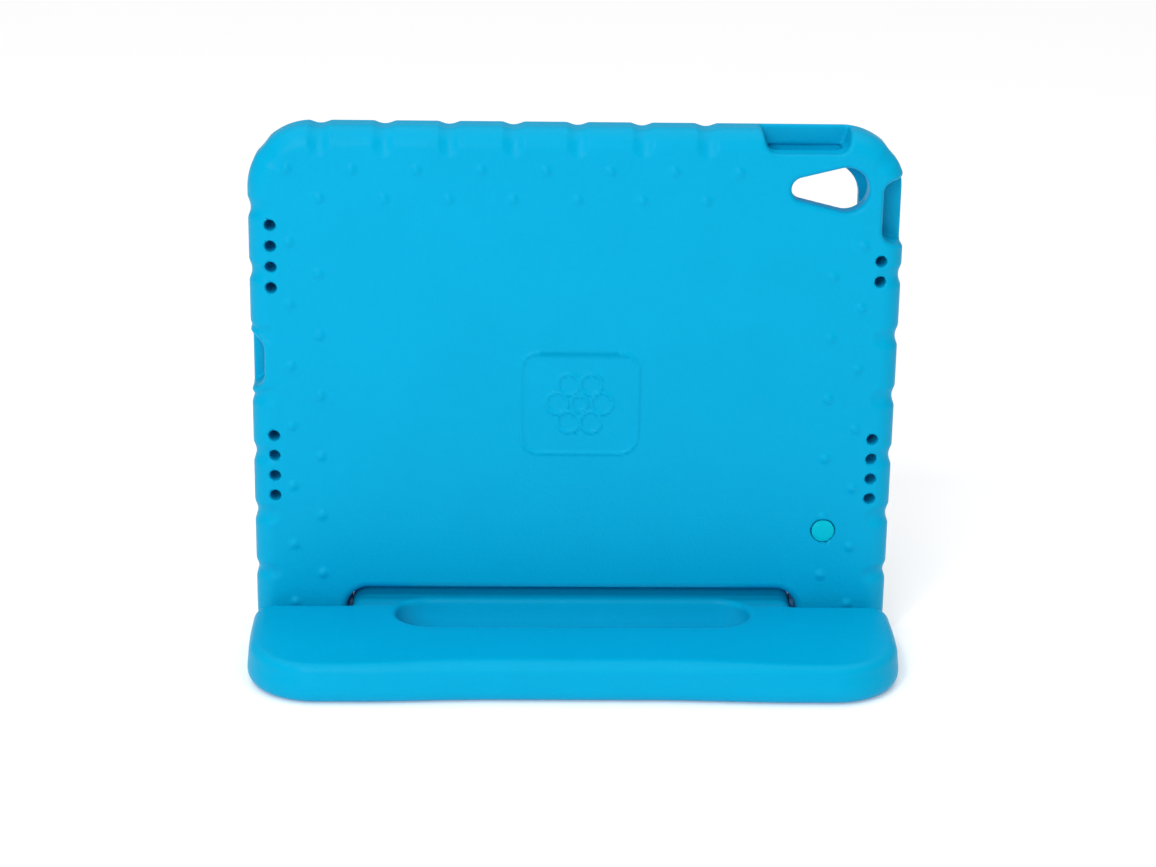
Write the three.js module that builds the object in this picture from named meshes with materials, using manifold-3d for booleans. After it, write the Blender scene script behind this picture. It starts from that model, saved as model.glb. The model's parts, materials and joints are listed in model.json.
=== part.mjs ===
// A moulded foam case for a 10.9 inch class tablet, standing on its fold-out handle.
// Millimetres, +Z up. The back of the case faces -Y and the tablet's screen faces +Y.
// The origin is on the surface that the case stands on, under the centre of its footprint.
import * as THREE from "three";
import { mergeVertices } from "three/addons/utils/BufferGeometryUtils.js";
import Module from "manifold-3d";

const wasm = await Module();
wasm.setup();

// The tablet that the pocket holds.
const TABLET_WIDTH = 247.6;
const TABLET_HEIGHT = 178.5;
const TABLET_THICKNESS = 7;
const TABLET_CORNER = 18;
const POCKET_PLAY = 0.6;

// The foam shell round it.
const SIDE_RIM = 14.2;
const TOP_RIM = 12.5;
const THICKNESS = 26;
const BACK_WALL = 10.5;
const CORNER_RADIUS = 27;
const EDGE_RADIUS = 9;
const LIP_OVERLAP = 4;
const LIP_SLOPE = 3;
const SHELL_BOTTOM = 24;
const BOTTOM_CHAMFER = 4;
const GUSSET = 5.9;
const GUSSET_HALF = 7;

// The foam handle, which is also the stand.
const HANDLE_REACH = 84;
const HANDLE_THICKNESS = 18.5;
const HANDLE_FRONT_CORNER = 30;
const HANDLE_REAR_CORNER = 9;
const HANDLE_EDGE = 5;
const HANDLE_GAP = 2;
const GRIP_DIP = 2.2;
const GRIP_HALF = 92;
const GRIP_FLAT = 32;
const SLOT_LENGTH = 153;
const SLOT_WIDTH = 30;
const SLOT_REAR = 11;
const TONGUE_HALF = 96;
const TONGUE_REAR = 8;
const TONGUE_CREST = 8;
const TONGUE_END = 3;

// The hinge: a rod in bushes and sleeves, held together by a screw in each end.
const WASHER_THICKNESS = 1.9;
const WASHER_RADIUS = 5.5;
const ROD_RADIUS = 2.5;
const SLEEVE_RADIUS = 4.5;
const SLEEVE_LENGTH = 31;
const SLEEVE_INSET = 3;
const BUSH_LENGTH = 31;
const SCREW_HEAD_RADIUS = 4.2;
const SCREW_HEAD = 2.6;
const SCREW_SHANK_RADIUS = 1.5;
const SCREW_SHANK = 9;
const CAP_THICKNESS = 3.2;
const FIT = 0.3;

// Openings in the shell, measured from the hinge axis and from the standing surface.
const CAMERA_HEIGHT = 203;
const LENS = { x: 112.4, radius: 9.4 };
const MICROPHONE = { x: 94.5, radius: 5.1 };
const FLARE = 1.8;
const VOLUME_WINDOW = { from: 79, to: 112, depth: 9.5 };
const POWER_WINDOW = { from: 181, to: 206, depth: 10 };
const PORT_WINDOW = { from: 116, to: 136, depth: 6 };
const WINDOW_FLARE = 2.5;
const WINDOW_FRONT = 4;
const SPEAKER_RADIUS = 2.35;
const SPEAKER_PITCH = 9;
const SPEAKER_X = 128.3;
const SPEAKER_ROWS = [
  { side: -1, top: 186.2, count: 4 },
  { side: -1, top: 93.9, count: 4 },
  { side: 1, top: 172.6, count: 2 },
  { side: 1, top: 93.6, count: 4 },
];
const PLUG = { x: 108.7, z: 51.8, radius: 4.9, depth: 6, dome: 0.5 };

// Sizes that follow from them.
const halfThickness = THICKNESS / 2;
const hingeHeight = halfThickness;
const caseWidth = TABLET_WIDTH + 2 * SIDE_RIM;
const halfWidth = caseWidth / 2;
const shellHeight = TABLET_HEIGHT + 2 * TOP_RIM;
const shellTop = SHELL_BOTTOM + shellHeight;
const tabletMiddle = SHELL_BOTTOM + shellHeight / 2;
const pocketFloor = BACK_WALL - halfThickness;
const pocketFront = pocketFloor + TABLET_THICKNESS + POCKET_PLAY;
const knuckleInner = TONGUE_HALF + WASHER_THICKNESS + 2 * FIT;
const handleRear = halfThickness + HANDLE_GAP;
const sleeveOuter = TONGUE_HALF - SLEEVE_INSET;
const sleeveInner = sleeveOuter - SLEEVE_LENGTH;
const footprintShift = (HANDLE_REACH - halfThickness) / 2;

const ARC = 6;
const ROUND = 32;
const SMALL_ROUND = 20;

const foam = new THREE.MeshStandardMaterial({ name: "foam", color: 0x06a4dc, roughness: 0.7 });
const plugFoam = new THREE.MeshStandardMaterial({ name: "plug_foam", color: 0x08b6d2, roughness: 0.6 });
const nylon = new THREE.MeshStandardMaterial({ name: "nylon", color: 0x2d6f9c, roughness: 0.5 });
const steel = new THREE.MeshStandardMaterial({
  name: "steel",
  color: 0x9da1a5,
  roughness: 0.35,
  metalness: 1,
});
const capPlastic = new THREE.MeshStandardMaterial({
  name: "cap_plastic",
  color: 0x0793cb,
  roughness: 0.45,
});

// A closed geometry as a solid that can be cut and joined.
function solidOf(geometry) {
  const bare = geometry.clone();
  bare.deleteAttribute("normal");
  bare.deleteAttribute("uv");
  const merged = mergeVertices(bare, 1e-3);
  return new wasm.Manifold(
    new wasm.Mesh({
      numProp: 3,
      vertProperties: new Float32Array(merged.attributes.position.array),
      triVerts: new Uint32Array(merged.index.array),
    }),
  );
}

// The solid's surface as a geometry, with flat facets.
function geometryOf(solid) {
  const mesh = solid.getMesh();
  const geometry = new THREE.BufferGeometry();
  geometry.setAttribute("position", new THREE.BufferAttribute(mesh.vertProperties, 3));
  geometry.setIndex(new THREE.BufferAttribute(mesh.triVerts, 1));
  const faceted = geometry.toNonIndexed();
  faceted.computeVertexNormals();
  return faceted;
}

// A rectangle with round corners, centred on (x, y).
function roundedRectangle(width, height, radius, x = 0, y = 0) {
  const right = x + width / 2 - radius;
  const top = y + height / 2 - radius;
  const left = x - width / 2 + radius;
  const bottom = y - height / 2 + radius;
  const shape = new THREE.Shape();
  shape.absarc(right, top, radius, 0, Math.PI / 2);
  shape.absarc(left, top, radius, Math.PI / 2, Math.PI);
  shape.absarc(left, bottom, radius, Math.PI, 1.5 * Math.PI);
  shape.absarc(right, bottom, radius, 1.5 * Math.PI, 2 * Math.PI);
  return shape;
}

// A closed polygon through [a, b] points.
function polygon(points) {
  return new THREE.Shape(points.map(([a, b]) => new THREE.Vector2(a, b)));
}

// A shape pushed along its normal from `from` to `to`, its edges rounded by `bevel`.
function extrude(shape, from, to, bevel = 0) {
  const geometry = new THREE.ExtrudeGeometry(shape, {
    depth: to - from - 2 * bevel,
    bevelEnabled: bevel > 0,
    bevelThickness: bevel,
    bevelSize: bevel,
    bevelOffset: -bevel,
    bevelSegments: ARC,
    curveSegments: ARC,
  });
  return geometry.translate(0, 0, from + bevel);
}

// A shape drawn in X and Z, pushed along Y.
function alongY(shape, from, to, bevel = 0) {
  return solidOf(extrude(shape, -to, -from, bevel).rotateX(Math.PI / 2));
}

// A shape drawn in Y and Z, pushed along X.
function alongX(shape, from, to, bevel = 0) {
  return solidOf(extrude(shape, from, to, bevel).rotateX(Math.PI / 2).rotateZ(Math.PI / 2));
}

// A shape drawn in X and Y, pushed along Z.
function alongZ(shape, from, to, bevel = 0) {
  return solidOf(extrude(shape, from, to, bevel));
}

// A block between two corners.
function block(low, high) {
  const size = high.map((value, axis) => value - low[axis]);
  const geometry = new THREE.BoxGeometry(...size);
  geometry.translate(...high.map((value, axis) => (value + low[axis]) / 2));
  return solidOf(geometry);
}

// A turned piece on the hinge axis: its profile is a list of [x, radius], which starts and ends on the axis.
function turned(profile, segments = ROUND) {
  const points = profile.map(([x, radius]) => new THREE.Vector2(radius, x));
  const geometry = new THREE.LatheGeometry(points, segments);
  geometry.rotateZ(-Math.PI / 2).translate(0, 0, hingeHeight);
  return solidOf(geometry);
}

// A round bar on the hinge axis from one x to another.
function axisBar(from, to, radius, segments = ROUND) {
  return turned([[from, 0], [from, radius], [to, radius], [to, 0]], segments);
}

// A tube on the hinge axis, with a running gap round the rod.
function axisTube(from, to, radius, bore) {
  return axisBar(from, to, radius, SMALL_ROUND).subtract(
    axisBar(from - 1, to + 1, bore, SMALL_ROUND),
  );
}

// A solid of the right-hand side as it is, or mirrored onto the left.
function onSide(solid, side) {
  if (side > 0) return solid;
  const { vertProperties, triVerts } = solid.getMesh();
  for (let i = 0; i < vertProperties.length; i += 3) vertProperties[i] *= -1;
  for (let i = 0; i < triVerts.length; i += 3) {
    [triVerts[i], triVerts[i + 1]] = [triVerts[i + 1], triVerts[i]];
  }
  return new wasm.Manifold(new wasm.Mesh({ numProp: 3, vertProperties, triVerts }));
}

// One end knuckle: a leg that grows out of the slab's end and a round foot on the hinge axis.
function knuckle() {
  const width = halfWidth - knuckleInner;
  const leg = new THREE.Shape();
  leg.moveTo(knuckleInner, halfThickness);
  leg.lineTo(knuckleInner, -halfThickness);
  leg.absarc(halfWidth - EDGE_RADIUS, EDGE_RADIUS - halfThickness, EDGE_RADIUS, -Math.PI / 2, 0);
  leg.absarc(halfWidth - EDGE_RADIUS, halfThickness - EDGE_RADIUS, EDGE_RADIUS, 0, Math.PI / 2);
  const profile = [[knuckleInner, 0], [knuckleInner, halfThickness]];
  for (let step = 0; step <= ARC; step++) {
    const angle = ((step / ARC) * Math.PI) / 2;
    profile.push([
      halfWidth - EDGE_RADIUS + EDGE_RADIUS * Math.sin(angle),
      halfThickness - EDGE_RADIUS + EDGE_RADIUS * Math.cos(angle),
    ]);
  }
  profile.push([halfWidth, 0]);
  return alongZ(leg, hingeHeight, SHELL_BOTTOM + width).add(turned(profile));
}

// A small gusset in the notch's upper corner, narrow enough to clear the tongue as the case leans.
function gusset() {
  const corner = polygon([
    [knuckleInner + 1, SHELL_BOTTOM + 1],
    [knuckleInner - GUSSET - 1, SHELL_BOTTOM + 1],
    [knuckleInner + 1, SHELL_BOTTOM - GUSSET - 1],
  ]);
  return alongY(corner, -GUSSET_HALF, GUSSET_HALF);
}

// The shell's outer body: a slab with rounded edges, a notch under it for the tongue, and two knuckles.
function shellBody() {
  const outline = roundedRectangle(caseWidth, shellHeight, CORNER_RADIUS, 0, tabletMiddle);
  const slab = alongY(outline, -halfThickness, halfThickness, EDGE_RADIUS);
  const flat = halfThickness - BOTTOM_CHAMFER;
  const edgeTop = SHELL_BOTTOM + BOTTOM_CHAMFER;
  const filler = polygon([
    [-flat, SHELL_BOTTOM],
    [flat, SHELL_BOTTOM],
    [halfThickness, edgeTop],
    [halfThickness, edgeTop + EDGE_RADIUS],
    [-halfThickness, edgeTop + EDGE_RADIUS],
    [-halfThickness, edgeTop],
  ]);
  let body = slab.add(alongX(filler, -knuckleInner - 1, knuckleInner + 1));
  for (const side of [-1, 1]) body = body.add(onSide(knuckle().add(gusset()), side));
  return body;
}

// The room for the tablet, and the window over its screen with a sloped edge.
function pocket() {
  const room = roundedRectangle(
    TABLET_WIDTH + POCKET_PLAY,
    TABLET_HEIGHT + POCKET_PLAY,
    TABLET_CORNER,
    0,
    tabletMiddle,
  );
  const clear = 2 * LIP_OVERLAP;
  const window = roundedRectangle(
    TABLET_WIDTH - clear,
    TABLET_HEIGHT - clear,
    TABLET_CORNER - LIP_OVERLAP,
    0,
    tabletMiddle,
  );
  const mouth = roundedRectangle(
    TABLET_WIDTH - clear + 2 * LIP_SLOPE,
    TABLET_HEIGHT - clear + 2 * LIP_SLOPE,
    TABLET_CORNER - LIP_OVERLAP + LIP_SLOPE,
    0,
    tabletMiddle,
  );
  return alongY(room, pocketFloor, pocketFront)
    .add(alongY(window, pocketFront - 1, halfThickness + 1))
    .add(alongY(mouth, halfThickness - LIP_SLOPE, halfThickness + 2 * LIP_SLOPE, LIP_SLOPE));
}

// The outline round the lens and the microphone: two circles and their common tangents.
function cameraOutline(grow) {
  const big = LENS.radius + grow;
  const small = MICROPHONE.radius + grow;
  const reach = LENS.x - MICROPHONE.x;
  const tangent = Math.acos((big - small) / reach);
  const shape = new THREE.Shape();
  shape.absarc(LENS.x, CAMERA_HEIGHT, big, tangent - Math.PI, Math.PI - tangent);
  shape.absarc(MICROPHONE.x, CAMERA_HEIGHT, small, Math.PI - tangent, Math.PI + tangent);
  return shape;
}

// The camera cut-out, which opens wider towards the back in two steps.
function cameraCutOut() {
  const through = alongY(cameraOutline(0), -halfThickness - 1, pocketFloor + 1);
  const flared = alongY(cameraOutline(FLARE), -halfThickness - 1, FLARE - halfThickness);
  return through.add(flared);
}

// A finger window's scoop, cut `depth` deep into a rim whose outer face is at `outer`, with slanted ends.
// Its points are [across the rim, along the rim].
function scoopPoints({ from, to, depth }, outer) {
  return [
    [outer - depth, from],
    [outer + 1, from - WINDOW_FLARE],
    [outer + 1, to + WINDOW_FLARE],
    [outer - depth, to],
  ];
}

// A window in the right-hand rim: the scoop, and a port from it into the pocket.
function sideWindow(window) {
  const { from, to, depth } = window;
  const scoop = polygon(scoopPoints(window, halfWidth));
  const port = block(
    [TABLET_WIDTH / 2 - 1, pocketFloor, from + 1],
    [halfWidth - depth + 1, pocketFront, to - 1],
  );
  return alongY(scoop, -halfThickness - 1, WINDOW_FRONT).add(port);
}

// The same window in the top rim.
function topWindow(window) {
  const { from, to, depth } = window;
  const points = scoopPoints(window, shellTop).map(([across, along]) => [along, across]);
  const port = block(
    [from + 1, pocketFloor, tabletMiddle + TABLET_HEIGHT / 2 - 1],
    [to - 1, pocketFront, shellTop - depth + 1],
  );
  return alongY(polygon(points.reverse()), -halfThickness - 1, WINDOW_FRONT).add(port);
}

// A round hole along Y.
function roundHole(x, z, radius, from, to) {
  const circle = new THREE.Shape();
  circle.absarc(x, z, radius, 0, 2 * Math.PI);
  return alongY(circle, from, to);
}

// One row of sound holes: short blind holes from the back, joined to the pocket by a channel.
function speakerRow({ side, top, count }) {
  const channelDepth = 3;
  const deepest = pocketFloor + channelDepth;
  let holes = block(
    [TABLET_WIDTH / 2 - 1, pocketFloor, top - (count - 1) * SPEAKER_PITCH],
    [SPEAKER_X, deepest, top],
  );
  for (let index = 0; index < count; index++) {
    const height = top - index * SPEAKER_PITCH;
    holes = holes.add(
      roundHole(SPEAKER_X, height, SPEAKER_RADIUS, -halfThickness - 1, deepest),
    );
  }
  return onSide(holes, side);
}

function makeShell() {
  let shell = shellBody()
    .subtract(pocket())
    .subtract(cameraCutOut())
    .subtract(topWindow(VOLUME_WINDOW))
    .subtract(sideWindow(POWER_WINDOW))
    .subtract(onSide(sideWindow(PORT_WINDOW), -1));
  for (const row of SPEAKER_ROWS) shell = shell.subtract(speakerRow(row));
  const plugSeat = roundHole(
    PLUG.x,
    PLUG.z,
    PLUG.radius + FIT,
    -halfThickness - 1,
    PLUG.depth + FIT - halfThickness,
  );
  const bore = SLEEVE_RADIUS + FIT;
  return shell
    .subtract(plugSeat)
    .subtract(axisBar(knuckleInner - 1, halfWidth + 1, bore, SMALL_ROUND))
    .subtract(axisBar(-halfWidth - 1, 1 - knuckleInner, bore, SMALL_ROUND));
}

// The plate's outline seen from above: large front corners, small rear ones, and a shallow dip
// along the front where the hand holds it.
function plateOutline() {
  const shape = new THREE.Shape();
  const front = HANDLE_FRONT_CORNER;
  const rear = HANDLE_REAR_CORNER;
  shape.absarc(halfWidth - rear, -handleRear - rear, rear, 0, Math.PI / 2);
  shape.absarc(rear - halfWidth, -handleRear - rear, rear, Math.PI / 2, Math.PI);
  shape.absarc(front - halfWidth, front - HANDLE_REACH, front, Math.PI, 1.5 * Math.PI);
  const turn = (GRIP_HALF + GRIP_FLAT) / 2;
  const edge = -HANDLE_REACH;
  const dip = GRIP_DIP - HANDLE_REACH;
  shape.lineTo(-GRIP_HALF, edge);
  shape.bezierCurveTo(-turn, edge, -turn, dip, -GRIP_FLAT, dip);
  shape.lineTo(GRIP_FLAT, dip);
  shape.bezierCurveTo(turn, dip, turn, edge, GRIP_HALF, edge);
  shape.absarc(halfWidth - front, front - HANDLE_REACH, front, 1.5 * Math.PI, 2 * Math.PI);
  return shape;
}

// The tongue's section: flat on top where it meets the plate, with a round crest over the rod.
function tongueSection() {
  const shape = new THREE.Shape();
  const join = -handleRear - 2 * HANDLE_EDGE;
  const rise = Math.asin((HANDLE_THICKNESS - hingeHeight) / TONGUE_CREST);
  shape.moveTo(join, 0);
  shape.lineTo(TONGUE_REAR - HANDLE_EDGE, 0);
  shape.absarc(TONGUE_REAR - HANDLE_EDGE, HANDLE_EDGE, HANDLE_EDGE, -Math.PI / 2, 0);
  shape.absarc(0, hingeHeight, TONGUE_CREST, 0, Math.PI - rise);
  shape.lineTo(join, HANDLE_THICKNESS);
  return shape;
}

// The handle: the plate and its tongue, less the finger slot and the rod's bore.
function makeHandle() {
  const plate = alongZ(plateOutline(), 0, HANDLE_THICKNESS, HANDLE_EDGE);
  const tongue = alongX(tongueSection(), -TONGUE_HALF, TONGUE_HALF, TONGUE_END);
  const slot = roundedRectangle(
    SLOT_LENGTH,
    SLOT_WIDTH,
    SLOT_WIDTH / 2 - FIT,
    0,
    -SLOT_REAR - SLOT_WIDTH / 2,
  );
  const ends = TONGUE_HALF + 1;
  const sleeveBore = SLEEVE_RADIUS + FIT;
  const bores = [sleeveInner - FIT, sleeveOuter + FIT];
  return plate
    .add(tongue)
    .subtract(alongZ(slot, -1, HANDLE_THICKNESS + TONGUE_CREST))
    .subtract(axisBar(-ends, ends, ROD_RADIUS + FIT, SMALL_ROUND))
    .subtract(axisBar(bores[0], bores[1], sleeveBore, SMALL_ROUND))
    .subtract(axisBar(-bores[1], -bores[0], sleeveBore, SMALL_ROUND));
}

// The rod, tapped at each end for a screw.
function makeRod() {
  const end = knuckleInner + BUSH_LENGTH - FIT;
  const tapped = SCREW_SHANK_RADIUS + FIT;
  const depth = end - SCREW_SHANK - FIT;
  return axisBar(-end, end, ROD_RADIUS, SMALL_ROUND)
    .subtract(axisBar(depth, end + 1, tapped, SMALL_ROUND))
    .subtract(axisBar(-end - 1, -depth, tapped, SMALL_ROUND));
}

// A pan-head screw in the rod's end.
function makeScrew() {
  const seat = knuckleInner + FIT + BUSH_LENGTH + FIT;
  const head = seat + SCREW_HEAD;
  return turned(
    [
      [seat - SCREW_SHANK, 0],
      [seat - SCREW_SHANK, SCREW_SHANK_RADIUS],
      [seat, SCREW_SHANK_RADIUS],
      [seat, SCREW_HEAD_RADIUS],
      [head - 0.8, SCREW_HEAD_RADIUS],
      [head, SCREW_HEAD_RADIUS - 1.2],
      [head, 0],
    ],
    SMALL_ROUND,
  );
}

// A cap that closes the hole in the side of the case, slightly domed.
function makeCap() {
  const outer = halfWidth - 0.2;
  return turned(
    [
      [outer - CAP_THICKNESS, 0],
      [outer - CAP_THICKNESS, SLEEVE_RADIUS],
      [outer - 0.9, SLEEVE_RADIUS],
      [outer - 0.3, SLEEVE_RADIUS - 0.8],
      [outer, 0],
    ],
    SMALL_ROUND,
  );
}

// The round plug low on the back: a short post with a domed face, a little proud of the back.
function makePlug() {
  const { x, z, radius, depth, dome } = PLUG;
  const profile = [
    [0, 0],
    [radius, 0],
    [radius, depth],
    [radius * 0.7, depth + dome * 0.7],
    [0, depth + dome],
  ];
  const points = profile.map(([r, height]) => new THREE.Vector2(r, height));
  const geometry = new THREE.LatheGeometry(points, SMALL_ROUND);
  return solidOf(geometry.rotateX(Math.PI).translate(x, depth - halfThickness, z));
}

const root = new THREE.Group();
root.name = "tablet_case";
root.position.y = footprintShift;

// Adds one named piece to the case.
function addPiece(name, solid, material) {
  const mesh = new THREE.Mesh(geometryOf(solid), material);
  mesh.name = name;
  root.add(mesh);
  return mesh;
}

addPiece("shell", makeShell(), foam);
addPiece("handle", makeHandle(), foam);
addPiece("back_plug", makePlug(), plugFoam);
addPiece("hinge_rod", makeRod(), steel);

for (const [word, side] of [["left", -1], ["right", 1]]) {
  const sleeve = axisTube(sleeveInner, sleeveOuter, SLEEVE_RADIUS, ROD_RADIUS + FIT);
  const bush = axisTube(
    knuckleInner + FIT,
    knuckleInner + FIT + BUSH_LENGTH,
    SLEEVE_RADIUS,
    ROD_RADIUS + FIT,
  );
  const washer = axisTube(
    TONGUE_HALF + FIT,
    TONGUE_HALF + FIT + WASHER_THICKNESS,
    WASHER_RADIUS,
    ROD_RADIUS + FIT,
  );
  addPiece(`sleeve_${word}`, onSide(sleeve, side), nylon);
  addPiece(`bush_${word}`, onSide(bush, side), nylon);
  addPiece(`washer_${word}`, onSide(washer, side), nylon);
  addPiece(`screw_${word}`, onSide(makeScrew(), side), steel);
  addPiece(`cap_${word}`, onSide(makeCap(), side), capPlastic);
}

export default root;
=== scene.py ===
"""A moulded foam tablet case on its fold-out handle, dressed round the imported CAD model.

The foam pieces are distance fields in millimetres, measured from the hinge axis in Y and from the
standing surface in Z. Each is turned into a fine mesh that lies exactly on its field.
"""
import json
import math

import bpy
import numpy as np
import openvdb
from mathutils import Matrix, Vector


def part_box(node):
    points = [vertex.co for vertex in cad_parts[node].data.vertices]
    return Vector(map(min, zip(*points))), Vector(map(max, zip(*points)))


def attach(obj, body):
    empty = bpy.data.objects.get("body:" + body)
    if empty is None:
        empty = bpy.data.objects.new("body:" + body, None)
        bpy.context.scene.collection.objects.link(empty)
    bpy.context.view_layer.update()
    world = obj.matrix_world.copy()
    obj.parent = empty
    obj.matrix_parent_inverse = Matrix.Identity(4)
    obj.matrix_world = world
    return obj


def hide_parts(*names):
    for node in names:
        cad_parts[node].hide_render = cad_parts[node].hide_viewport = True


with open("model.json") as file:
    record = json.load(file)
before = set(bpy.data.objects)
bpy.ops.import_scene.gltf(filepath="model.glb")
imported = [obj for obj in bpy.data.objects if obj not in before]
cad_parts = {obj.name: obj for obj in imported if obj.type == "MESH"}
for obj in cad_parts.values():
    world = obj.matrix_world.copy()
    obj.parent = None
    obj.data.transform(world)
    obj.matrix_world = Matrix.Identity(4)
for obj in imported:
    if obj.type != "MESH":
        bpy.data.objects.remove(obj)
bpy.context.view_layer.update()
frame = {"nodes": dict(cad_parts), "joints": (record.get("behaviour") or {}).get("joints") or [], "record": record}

MM = 0.001
RECORD = frame["record"]
HINGE = [value / MM for value in frame["joints"][0]["pos_m"]]

# The shell, from the frame's own boxes where they give it.
SHELL_LOW, SHELL_HIGH = [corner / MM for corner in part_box("shell")]
HALF_WIDTH = SHELL_HIGH.x
HALF_THICKNESS = (SHELL_HIGH.y - SHELL_LOW.y) / 2
SHELL_TOP = SHELL_HIGH.z
HINGE_HEIGHT = HINGE[2]
SHELL_BOTTOM = 24
CORNER_RADIUS = 27
EDGE_RADIUS = 9
BOTTOM_EDGE = 3.5
NOTCH_CORNER = 10
KNUCKLE_INNER = 98.5

# The tablet's pocket and the lip round its screen.
TABLET = {"width": 247.6, "height": 178.5, "corner": 18}
POCKET_PLAY = 0.6
POCKET_FLOOR = -2.5
POCKET_FRONT = 5.1
POCKET_CORNER = 1.2
POCKET_EDGE = 0.8
LIP_OVERLAP = 4
LIP_EDGE = 3.5
TABLET_MIDDLE = (SHELL_BOTTOM + SHELL_TOP) / 2

# Openings.
CAMERA_HEIGHT = 203
LENS = {"x": 112.4, "radius": 9.4}
MICROPHONE = {"x": 94.5, "radius": 5.1}
CAMERA_EDGE = 2.2
CAMERA_END = 1
VOLUME_WINDOW = {"start": 79, "end": 112, "depth": 9.5}
POWER_WINDOW = {"start": 181, "end": 206, "depth": 10}
PORT_WINDOW = {"start": 116, "end": 136, "depth": 6}
WINDOW_FLARE = 2.5
WINDOW_FRONT = 4
WINDOW_CORNER = 4
WINDOW_EDGE = 1.5
PORT_STEP = 1
PORT_EDGE = 0.6
INNER_ROUND = 1
SPEAKER_X = 128.3
SPEAKER_RADIUS = 2.35
SPEAKER_PITCH = 9
SPEAKER_CHANNEL = 3
SPEAKER_ROWS = [(-1, 186.2, 4), (-1, 93.9, 4), (1, 172.6, 2), (1, 93.6, 4)]
PLUG_SEAT = 0.3
PLUG_DEPTH = 6.3
BORE_RADIUS = 4.8
HOLE_EDGE = 0.5

# The moulded relief: grooves over the rim, fainter at the top corners and none by the feet, two rows
# of studs, and an emblem. A row's inset is its distance in from the outline.
GROOVE_PITCH = 26.9
GROOVE_HALF = 4.8
GROOVE_DEPTH = 1.2
GROOVE_INSET = 7
GROOVE_END = 5
CORNER_FADE = 0.55
CORNER_REACH = (24, 14)
LOWEST_GROOVE = (26, 32)
WINDOW_CLEAR = (1, 4)
STUD_RADIUS = 3
STUD_HEIGHT = 0.9
OUTER_STUDS = 17.3
INNER_STUDS = 29.6
EMBLEM = {"x": 2, "z": 109.3, "width": 51, "height": 46, "corner": 8, "line": 1.3, "raised": 0.5}
EMBLEM_SLOPE = 0.5
PETALS = {"count": 6, "radius": 4.6, "ring": 9.66, "heart": 3.45}

# The handle. Its top swells a little towards the tongue and falls off at the front corners.
HANDLE_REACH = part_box("handle")[0].y / MM - HINGE[1]
HANDLE_REAR = -15
HANDLE_THICKNESS = 18.5
FRONT_CORNER = 30
REAR_CORNER = 9
HANDLE_EDGE = 5.5
SLOT = {"length": 153, "width": 30, "rear": 11, "edge": 2.5}
TONGUE_HALF = 96
TONGUE_REAR = 8
TONGUE_CREST = 8
TONGUE_END = 5
TONGUE_NECK = 3
ROD_BORE = 2.8
SLEEVE_SEAT = (61.7, 93.3)
GRIP = {"dip": 2.2, "flat": 32.2, "end": 92, "start_y": -45, "full_y": -78}
SHOULDERS = {"drop": 1.4, "across": (45, 105), "back": (-35, -80), "up": (6, 14)}
SWELL = {"radius": 1.8, "back": (-40, -18), "up": (8, 14)}

# The mesh: its step, how far flat areas may be merged into larger faces, the steps of field kept
# on each side of the surface, and the reach over which a slope is measured.
STEP = 0.95
MERGE_FLAT = 0.0015
LAYER = 3
SLOPE_REACH = 0.04

# Colours.
FOAM_BLUE = (0.0, 0.365, 0.62)
PLUG_BLUE = (0.0, 0.49, 0.62)
CAP_BLUE = (0.0, 0.30, 0.55)
# The nylon's dark blue is painted shade: the washers that show in the slit beside the tongue stand in for its
# shadow.
NYLON_PAINTED_SHADE_BLUE = (0.02, 0.14, 0.3)
STEEL_GREY = (0.53, 0.54, 0.55)
PAPER = (0.93, 0.93, 0.93)
WHITE = (1, 1, 1, 1)

# The view and the studio, in metres and degrees.
CAMERA = {"lens": 82.5, "place": (-0.0314, -1.0556, 0.4512), "pitch": 18.24, "yaw": 1.75, "roll": 0.87}
ROOM_LIGHT = 0.3
KEY = {"size": 0.6, "energy": 12, "location": (-0.5, -1.7, 0.85), "aim": (0, 0, 0.12)}
RIM = {"size": 0.2, "energy": 5, "location": (-0.5, -1.0, 1.3), "aim": (0, 0, 0.2)}
OVERHEAD = {"energy": 1.75, "angle": 80}
FLOOR_HALF = 6
FLOOR_GLOW = 0.16


# ---------------------------------------------------------------- fields


def ramp(value, start, end):
    """A smooth rise from 0 at start to 1 at end."""
    t = np.clip((value - start) / (end - start), 0, 1)
    return t * t * (3 - 2 * t)


def both(first, second, radius=0):
    """Where two solids overlap, the edge between them rounded."""
    corner = np.hypot(np.maximum(first + radius, 0), np.maximum(second + radius, 0))
    return np.minimum(np.maximum(first, second), -radius) + corner


def joined(first, second, radius=0):
    """Two solids together, the inner corner between them filled."""
    return -both(-first, -second, radius)


def less(solid, cutter, radius=0):
    """A solid with another cut out of it, the edge between them rounded."""
    return both(solid, -cutter, radius)


def rectangle(a, b, half_a, half_b, radius):
    """A rectangle with round corners, centred on 0."""
    return both(np.abs(a) - half_a, np.abs(b) - half_b, radius)


def between(value, low, high):
    """A slab from low to high."""
    return np.abs(value - (low + high) / 2) - (high - low) / 2


def shell_outline(x, z):
    """The shell seen from behind: round top corners, and sides that run down to the feet."""
    return both(np.abs(x) - HALF_WIDTH, z - SHELL_TOP, CORNER_RADIUS)


def along_rim(x, z):
    """The distance from the top's middle, along the outline."""
    across = np.abs(x) - (HALF_WIDTH - CORNER_RADIUS)
    above = z - (SHELL_TOP - CORNER_RADIUS)
    turn = np.where(above > 0, np.arctan2(np.maximum(across, 0), np.maximum(above, 1e-6)), math.pi / 2)
    down = HALF_WIDTH - CORNER_RADIUS + CORNER_RADIUS * turn + np.maximum(-above, 0)
    return np.where((across > 0) | (across > above), down, np.abs(x))


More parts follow.
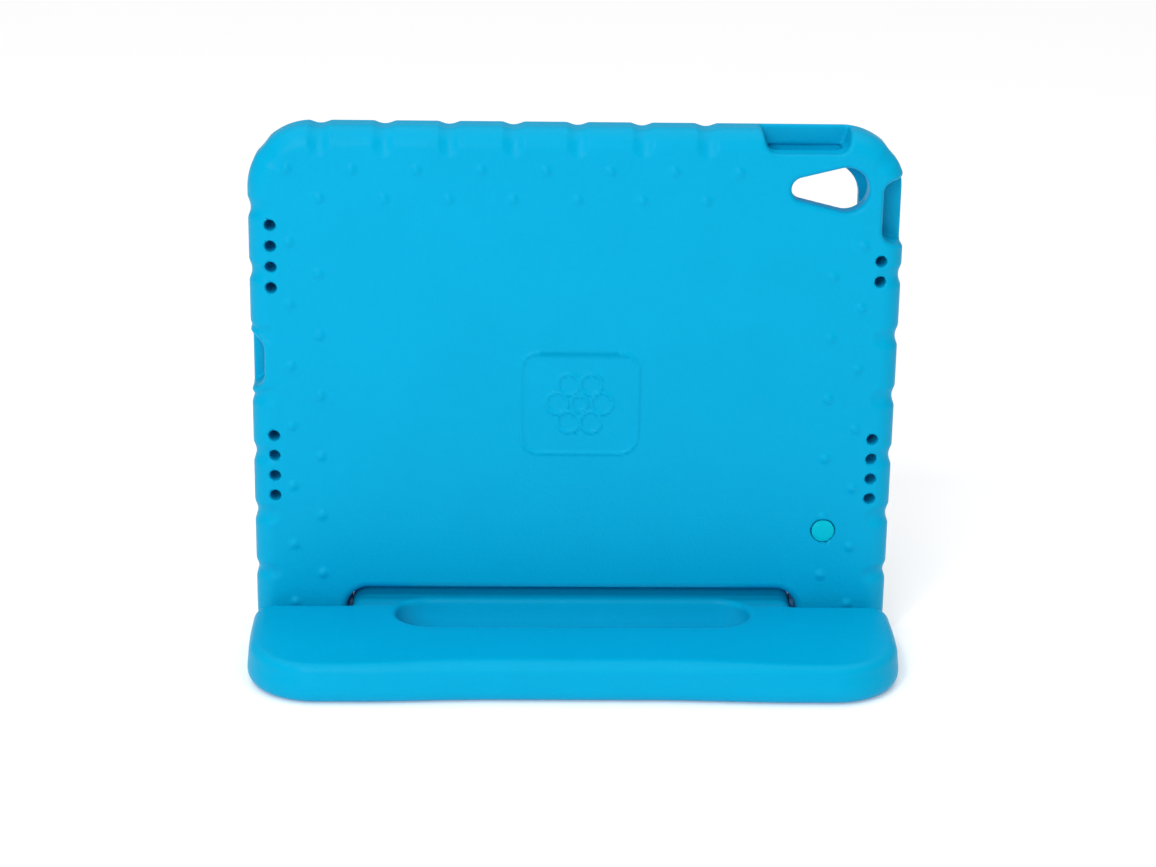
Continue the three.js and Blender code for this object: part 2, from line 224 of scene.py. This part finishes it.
def scoop(along, across, window, outer):
    """A window's hollow in a rim whose outer face is at outer, with slanted ends."""
    floor = outer - window["depth"]
    slant = math.atan2(WINDOW_FLARE, window["depth"] + 1)
    lean = (across - floor) * math.sin(slant)
    first = (window["start"] - along) * math.cos(slant) - lean
    last = (along - window["end"]) * math.cos(slant) - lean
    return both(both(first, last), floor - across, WINDOW_CORNER)


def windows(x, z):
    """The three windows' hollows, seen from behind."""
    volume = scoop(x, z, VOLUME_WINDOW, SHELL_TOP)
    power = scoop(z, x, POWER_WINDOW, HALF_WIDTH)
    port = scoop(z, -x, PORT_WINDOW, HALF_WIDTH)
    return np.minimum(np.minimum(volume, power), port)


def window_ports(x, z):
    """The openings from the windows into the pocket, seen from behind."""
    tablet_top = TABLET_MIDDLE + TABLET["height"] / 2
    tablet_side = TABLET["width"] / 2
    ports = both(
        between(x, VOLUME_WINDOW["start"] + PORT_STEP, VOLUME_WINDOW["end"] - PORT_STEP),
        between(z, tablet_top - PORT_STEP, SHELL_TOP - VOLUME_WINDOW["depth"] + PORT_STEP),
    )
    for side, window in ((1, POWER_WINDOW), (-1, PORT_WINDOW)):
        port = both(
            between(z, window["start"] + PORT_STEP, window["end"] - PORT_STEP),
            between(side * x, tablet_side - PORT_STEP, HALF_WIDTH - window["depth"] + PORT_STEP),
        )
        ports = np.minimum(ports, port)
    return ports


def camera_outline(x, z):
    """Two circles and their common tangents, round the lens and the microphone."""
    reach = LENS["x"] - MICROPHONE["x"]
    lean = (LENS["radius"] - MICROPHONE["radius"]) / reach
    rise = math.sqrt(1 - lean * lean)
    toward = LENS["x"] - x
    aside = np.abs(z - CAMERA_HEIGHT)
    along = rise * toward - lean * aside
    sides = rise * aside + lean * toward - LENS["radius"]
    big = np.hypot(toward, aside) - LENS["radius"]
    small = np.hypot(toward - reach, aside) - MICROPHONE["radius"]
    return np.where(along < 0, big, np.where(along > rise * reach, small, sides))


def grooves(x, z):
    """How deep the rim is pressed in, at each groove across it."""
    along = along_rim(x, z)
    inset = -shell_outline(x, z)
    off = np.abs(along - GROOVE_PITCH * np.round(along / GROOVE_PITCH))
    away = np.hypot(off / GROOVE_HALF, np.maximum(inset - GROOVE_INSET, 0) / GROOVE_END)
    shape = np.maximum(1 - away * away, 0) ** 1.5
    clear = ramp(windows(x, z), *WINDOW_CLEAR) * ramp(z, *LOWEST_GROOVE)
    begin, end = CORNER_REACH
    across = ramp(np.abs(x), HALF_WIDTH - begin, HALF_WIDTH - end)
    corner = across * ramp(z, SHELL_TOP - begin, SHELL_TOP - end)
    return GROOVE_DEPTH * shape * clear * (1 - CORNER_FADE * corner)


def stud_places():
    """The studs' centres: an outer row between the grooves and an inner row in line with them.

    Each is listed by its place along the outline, counted in grooves from the top's middle, and
    by its inset.
    """
    corner_end = HALF_WIDTH - CORNER_RADIUS + CORNER_RADIUS * math.pi / 2
    top = [(step - 4.5, OUTER_STUDS) for step in range(8)]
    top += [(step - 4, INNER_STUDS) for step in range(7)]
    places = [(GROOVE_PITCH * along, SHELL_TOP - inset) for along, inset in top]
    sides = [(step + 6.5, OUTER_STUDS) for step in range(7)]
    sides += [(step + 7, INNER_STUDS) for step in range(6)]
    for along, inset in sides:
        z = SHELL_TOP - CORNER_RADIUS - (GROOVE_PITCH * along - corner_end)
        places += [(side * (HALF_WIDTH - inset), z) for side in (-1, 1)]
    return places


def studs(x, z):
    """How far the studs stand up from the back."""
    height = 0
    for stud_x, stud_z in stud_places():
        away = np.hypot(x - stud_x, z - stud_z) / STUD_RADIUS
        height = np.maximum(height, np.maximum(1 - away * away, 0) ** 2)
    return STUD_HEIGHT * height


def emblem(x, z):
    """How far the emblem stands up: a rounded frame round a plain six-petalled flower."""
    across = x - EMBLEM["x"]
    above = z - EMBLEM["z"]
    half_line = EMBLEM["line"] / 2
    border = rectangle(across, above, EMBLEM["width"] / 2, EMBLEM["height"] / 2, EMBLEM["corner"])
    lines = np.abs(border + half_line) - half_line
    lines = np.minimum(lines, np.abs(np.hypot(across, above) - PETALS["heart"]) - half_line)
    for step in range(PETALS["count"]):
        angle = 2 * math.pi * step / PETALS["count"]
        petal_x = PETALS["ring"] * math.cos(angle)
        petal_z = PETALS["ring"] * math.sin(angle)
        away = np.hypot(across - petal_x, above - petal_z)
        lines = np.minimum(lines, np.abs(away - PETALS["radius"]) - half_line)
    return EMBLEM["raised"] * ramp(-lines, -EMBLEM_SLOPE, EMBLEM_SLOPE)


def tablet_room(x, y, z):
    """The pocket for the tablet."""
    half_width = (TABLET["width"] + POCKET_PLAY) / 2
    half_height = (TABLET["height"] + POCKET_PLAY) / 2
    outline = rectangle(x, z - TABLET_MIDDLE, half_width, half_height, TABLET["corner"])
    return both(outline, between(y, POCKET_FLOOR, POCKET_FRONT), POCKET_CORNER)


def screen_window(x, y, z):
    """The opening over the tablet's screen."""
    half_width = TABLET["width"] / 2 - LIP_OVERLAP
    half_height = TABLET["height"] / 2 - LIP_OVERLAP
    corner = TABLET["corner"] - LIP_OVERLAP
    outline = rectangle(x, z - TABLET_MIDDLE, half_width, half_height, corner)
    return both(outline, POCKET_FRONT - 1 - y)


def speaker_holes(x, y, z):
    """Rows of short holes from the back, each row joined to the pocket by a channel."""
    holes = None
    for side, top, count in SPEAKER_ROWS:
        reach = side * x
        low = top - (count - 1) * SPEAKER_PITCH
        nearest = np.clip(np.round((top - z) / SPEAKER_PITCH), 0, count - 1) * SPEAKER_PITCH
        round_holes = np.hypot(reach - SPEAKER_X, z - top + nearest) - SPEAKER_RADIUS
        drilled = both(round_holes, y - POCKET_FLOOR - SPEAKER_CHANNEL)
        channel = both(
            both(between(reach, TABLET["width"] / 2 - 1, SPEAKER_X), between(z, low, top)),
            between(y, POCKET_FLOOR, POCKET_FLOOR + SPEAKER_CHANNEL),
        )
        row = np.minimum(drilled, channel)
        holes = row if holes is None else np.minimum(holes, row)
    return holes


def plug_seat(x, y, z):
    """The hole for the round plug, from the plug's own box."""
    low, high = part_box("back_plug")
    middle = (low + high) / 2 / MM
    radius = (high.x - low.x) / 2 / MM + PLUG_SEAT
    return both(np.hypot(x - middle.x, z - middle.z) - radius, y + HALF_THICKNESS - PLUG_DEPTH)


def shell_field(x, y, z):
    """The shell: a slab with rounded edges on two round feet, with relief, pocket and openings."""
    low_part = np.hypot(y, z - HINGE_HEIGHT)
    through = np.where(z < HINGE_HEIGHT, low_part, np.abs(y)) - HALF_THICKNESS
    body = both(shell_outline(x, z), through, EDGE_RADIUS) + grooves(x, z)
    body = body - np.where(y < 0, studs(x, z) + emblem(x, z), 0)
    notch = both(np.abs(x) - KNUCKLE_INNER, z - SHELL_BOTTOM, NOTCH_CORNER)
    body = less(body, notch, BOTTOM_EDGE)
    body = less(body, screen_window(x, y, z), LIP_EDGE)
    body = less(body, tablet_room(x, y, z), POCKET_EDGE)
    body = less(body, both(camera_outline(x, z), y - CAMERA_END), CAMERA_EDGE)
    body = less(body, both(windows(x, z), y - WINDOW_FRONT, INNER_ROUND), WINDOW_EDGE)
    ports = both(window_ports(x, z), between(y, POCKET_FLOOR, POCKET_FRONT), INNER_ROUND)
    body = less(body, ports, PORT_EDGE)
    body = less(body, speaker_holes(x, y, z), HOLE_EDGE)
    body = less(body, plug_seat(x, y, z), HOLE_EDGE)
    bore = both(np.hypot(y, z - HINGE_HEIGHT) - BORE_RADIUS, KNUCKLE_INNER - 1 - np.abs(x))
    return less(body, bore, HOLE_EDGE)


def plate_outline(x, y):
    """The plate seen from above, its front edge dipping in along the grip."""
    dip = GRIP["dip"] * (1 - ramp(np.abs(x), GRIP["flat"], GRIP["end"]))
    pulled = y - dip * ramp(y, GRIP["start_y"], GRIP["full_y"])
    middle = (HANDLE_REACH + HANDLE_REAR) / 2
    corner = np.where(y < middle, FRONT_CORNER, REAR_CORNER)
    return rectangle(x, pulled - middle, HALF_WIDTH, (HANDLE_REAR - HANDLE_REACH) / 2, corner)


def tongue_section(y, z):
    """The tongue from the side: flat on top at the plate, with a round crest over the rod."""
    crest = np.hypot(y, z - HINGE_HEIGHT) - TONGUE_CREST
    neck = both(y + TONGUE_CREST / 2, z - HANDLE_THICKNESS)
    below = both(both(y - TONGUE_REAR, -z, HANDLE_EDGE), z - HINGE_HEIGHT)
    section = np.minimum(joined(crest, neck, TONGUE_NECK), below)
    return both(both(section, -z), -y + HANDLE_REACH / 2)


def handle_field(x, y, z):
    """The handle: a plate and its tongue, less the finger slot and the rod's bore."""
    drop = SHOULDERS["drop"] * ramp(np.abs(x), *SHOULDERS["across"])
    drop = drop * ramp(y, *SHOULDERS["back"]) * ramp(z, *SHOULDERS["up"])
    plate = both(plate_outline(x, y), between(z, 0, HANDLE_THICKNESS), HANDLE_EDGE) + drop
    tongue = both(tongue_section(y, z), np.abs(x) - TONGUE_HALF, TONGUE_END)
    swell = SWELL["radius"] * ramp(y, *SWELL["back"]) * ramp(z, *SWELL["up"])
    solid = joined(plate, tongue, swell)
    slot_middle = -SLOT["rear"] - SLOT["width"] / 2
    half_slot = SLOT["width"] / 2
    slot = rectangle(x, y - slot_middle, SLOT["length"] / 2, half_slot, half_slot)
    solid = less(solid, slot, SLOT["edge"])
    radial = np.hypot(y, z - HINGE_HEIGHT)
    solid = less(solid, radial - ROD_BORE)
    return less(solid, both(radial - BORE_RADIUS, between(np.abs(x), *SLEEVE_SEAT)))


# ---------------------------------------------------------------- meshes


def add_object(name, data):
    """An object in the scene that shows the data."""
    made = bpy.data.objects.new(name, data)
    bpy.context.scene.collection.objects.link(made)
    return made


def slopes(field, points):
    """The field's gradient at each point."""
    found = np.empty_like(points)
    for axis in range(3):
        ahead = points.copy()
        behind = points.copy()
        ahead[:, axis] += SLOPE_REACH
        behind[:, axis] -= SLOPE_REACH
        found[:, axis] = (field(*ahead.T) - field(*behind.T)) / (2 * SLOPE_REACH)
    return found


def settled(field, points):
    """The points moved onto the field's zero surface, and the surface's normals there."""
    for _ in range(3):
        slope = slopes(field, points)
        steep = np.maximum((slope**2).sum(1), 0.2)
        move = np.clip(field(*points.T) / steep, -STEP / 2, STEP / 2)
        points = points - slope * move[:, None]
    slope = slopes(field, points)
    return points, slope / np.maximum(np.linalg.norm(slope, axis=1), 1e-6)[:, None]


def moulded(name, field, low, high, body, material):
    """One piece of foam: a closed mesh on the field's zero surface, riding on a CAD body."""
    axes = [np.arange(a - LAYER * STEP, b + LAYER * STEP, STEP) for a, b in zip(low, high)]
    values = field(*np.meshgrid(*axes, indexing="ij", sparse=True))
    grid = openvdb.FloatGrid()
    grid.background = LAYER * STEP
    grid.copyFromArray(np.clip(values, -LAYER * STEP, LAYER * STEP).astype(np.float32))
    points, triangles, quads = grid.convertToPolygons(isovalue=0.0, adaptivity=MERGE_FLAT)
    start = np.array([axis[0] for axis in axes])
    points, normals = settled(field, points.astype(float) * STEP + start)
    placed = (points + [0, HINGE[1], 0]) * MM
    mesh = bpy.data.meshes.new(name)
    faces = triangles.tolist() + quads.tolist()
    mesh.from_pydata(placed.tolist(), [], faces)
    mesh.shade_smooth()
    mesh.normals_split_custom_set_from_vertices(normals.tolist())
    piece = add_object(name, mesh)
    mesh.materials.append(material)
    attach(piece, body)
    return piece


# ---------------------------------------------------------------- materials


def new_material(name, colour, roughness):
    """A Principled material, and its node tree and shader."""
    material = bpy.data.materials.new(name)
    material.use_nodes = True
    shader = material.node_tree.nodes["Principled BSDF"]
    shader.inputs["Base Color"].default_value = (*colour, 1)
    shader.inputs["Roughness"].default_value = roughness
    return material, material.node_tree, shader


def node(tree, kind, **values):
    """A shader node with some of its inputs set."""
    made = tree.nodes.new(kind)
    for key, value in values.items():
        made.inputs[key].default_value = value
    return made


def place(tree):
    """The point on the object, in metres."""
    return tree.nodes.new("ShaderNodeTexCoord").outputs["Object"]


def noise(tree, scale, detail=2.0, roughness=0.5):
    """Noise over the object, at so many grains to the metre."""
    made = node(tree, "ShaderNodeTexNoise", Scale=scale, Detail=detail, Roughness=roughness)
    tree.links.new(place(tree), made.inputs["Vector"])
    return made.outputs["Fac"]


def spread(tree, value, low, high):
    """A value from 0 to 1, spread between low and high."""
    made = node(tree, "ShaderNodeMapRange")
    made.inputs["From Min"].default_value = 0.3
    made.inputs["From Max"].default_value = 0.7
    made.inputs["To Min"].default_value = low
    made.inputs["To Max"].default_value = high
    tree.links.new(value, made.inputs["Value"])
    return made.outputs["Result"]


def tint(tree, shader, colour, amount, value):
    """Colours that wander a little lighter and darker round the base colour."""
    mix = tree.nodes.new("ShaderNodeMix")
    mix.data_type = "RGBA"
    mix.inputs["A"].default_value = (*[part * (1 - amount) for part in colour], 1)
    mix.inputs["B"].default_value = (*[part * (1 + amount) for part in colour], 1)
    tree.links.new(value, mix.inputs["Factor"])
    tree.links.new(mix.outputs["Result"], shader.inputs["Base Color"])


def bump(tree, shader, layers):
    """Bumps one on another, each a height in metres and a field from 0 to 1."""
    last = None
    for height, value in layers:
        made = node(tree, "ShaderNodeBump", Strength=1.0, Distance=height)
        tree.links.new(value, made.inputs["Height"])
        if last is not None:
            tree.links.new(last, made.inputs["Normal"])
        last = made.outputs["Normal"]
    tree.links.new(last, shader.inputs["Normal"])


def foam_material(name, colour, roughness=0.34):
    """Moulded closed-cell foam: a fine skin grain, faint clouds of colour and a soft sheen."""
    material, tree, shader = new_material(name, colour, roughness)
    clouds = noise(tree, 35.0, 3.0)
    tint(tree, shader, colour, 0.035, clouds)
    skin = noise(tree, 2600.0, 2.0)
    dimples = noise(tree, 700.0, 2.0)
    bump(tree, shader, [(0.00012, dimples), (0.00005, skin)])
    tree.links.new(spread(tree, dimples, roughness - 0.05, roughness + 0.05), shader.inputs["Roughness"])
    shader.inputs["Specular IOR Level"].default_value = 0.05
    return material


def nylon_painted_shade_material():
    """Moulded nylon with faint tool marks, coloured dark blue as painted shade: the washers seen in the slit
    beside the tongue stand in for its shadow.
    """
    material, tree, shader = new_material("nylon", NYLON_PAINTED_SHADE_BLUE, 0.45)
    tint(tree, shader, NYLON_PAINTED_SHADE_BLUE, 0.03, noise(tree, 120.0))
    bump(tree, shader, [(0.00003, noise(tree, 1500.0))])
    return material


def steel_material():
    """Turned steel, its marks running round the hinge axis."""
    material, tree, shader = new_material("steel", STEEL_GREY, 0.3)
    shader.inputs["Metallic"].default_value = 1.0
    stretch = node(tree, "ShaderNodeMapping", Scale=(9000.0, 200.0, 200.0))
    tree.links.new(place(tree), stretch.inputs["Vector"])
    marks = node(tree, "ShaderNodeTexNoise", Scale=1.0, Detail=1.0)
    tree.links.new(stretch.outputs["Vector"], marks.inputs["Vector"])
    bump(tree, shader, [(0.00001, marks.outputs["Fac"])])
    tree.links.new(spread(tree, marks.outputs["Fac"], 0.25, 0.38), shader.inputs["Roughness"])
    return material


# ---------------------------------------------------------------- scene


def add_lamp(name, size, energy, location, aim):
    """A soft square lamp that faces a point."""
    data = bpy.data.lights.new(name, "AREA")
    data.size = size
    data.energy = energy
    lamp = add_object(name, data)
    direction = Vector(aim) - Vector(location)
    lamp.rotation_euler = direction.to_track_quat("-Z", "Y").to_euler()
    lamp.location = location


def add_camera():
    """The photograph's view: a long lens, above and behind the case, turned a little."""
    data = bpy.data.cameras.new("camera")
    data.sensor_width = 36
    data.lens = CAMERA["lens"]
    pitch, yaw, roll = (math.radians(CAMERA[turn]) for turn in ("pitch", "yaw", "roll"))
    camera = add_object("camera", data)
    camera.matrix_world = (
        Matrix.Translation(CAMERA["place"])
        @ Matrix.Rotation(-yaw, 4, "Z")
        @ Matrix.Rotation(math.pi / 2 - pitch, 4, "X")
        @ Matrix.Rotation(roll, 4, "Z")
    )
    bpy.context.scene.camera = camera


def add_room():
    """A white room, two soft lamps and a wide light from overhead."""
    world = bpy.data.worlds.new("studio")
    bpy.context.scene.world = world
    world.use_nodes = True
    background = world.node_tree.nodes["Background"]
    background.inputs["Color"].default_value = WHITE
    background.inputs["Strength"].default_value = ROOM_LIGHT
    add_lamp("key", **KEY)
    add_lamp("rim", **RIM)
    overhead = bpy.data.lights.new("overhead", "SUN")
    overhead.energy = OVERHEAD["energy"]
    overhead.angle = math.radians(OVERHEAD["angle"])
    add_object("overhead", overhead)


def add_floor():
    """A white paper floor that glows a little, so that it runs to white in the distance."""
    half = FLOOR_HALF
    corners = [(-half, -half, 0), (half, -half, 0), (half, half, 0), (-half, half, 0)]
    mesh = bpy.data.meshes.new("floor")
    mesh.from_pydata(corners, [], [(0, 1, 2, 3)])
    floor = add_object("floor", mesh)
    material, tree, shader = new_material("paper", PAPER, 0.9)
    tint(tree, shader, PAPER, 0.005, noise(tree, 8.0))
    shader.inputs["Emission Color"].default_value = WHITE
    shader.inputs["Emission Strength"].default_value = FLOOR_GLOW
    mesh.materials.append(material)


def in_hinge_frame(node_name):
    """A CAD node's box in millimetres, measured from the hinge axis in Y."""
    low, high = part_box(node_name)
    return [[corner.x / MM, corner.y / MM - HINGE[1], corner.z / MM] for corner in (low, high)]


def build():
    """Every piece and every material."""
    foam = foam_material("foam", FOAM_BLUE)
    shell_low, shell_high = in_hinge_frame("shell")
    shell = moulded("case_shell", shell_field, shell_low, shell_high, "shell", foam)
    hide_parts("shell")
    handle_low, handle_high = in_hinge_frame("handle")
    handle = moulded("case_handle", handle_field, handle_low, handle_high, "handle", foam)
    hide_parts("handle")
    looks = {
        "plug_foam": foam_material("plug_foam", PLUG_BLUE, 0.45),
        "cap_plastic": foam_material("cap_plastic", CAP_BLUE, 0.4),
        "steel": steel_material(),
        "nylon": nylon_painted_shade_material(),
    }
    for part in RECORD["subparts"]:
        if part["material_slot"] in looks:
            materials = frame["nodes"][part["node"]].data.materials
            materials.clear()
            materials.append(looks[part["material_slot"]])


add_camera()
add_room()
add_floor()
build()
bpy.context.scene.view_settings.view_transform = "Standard"
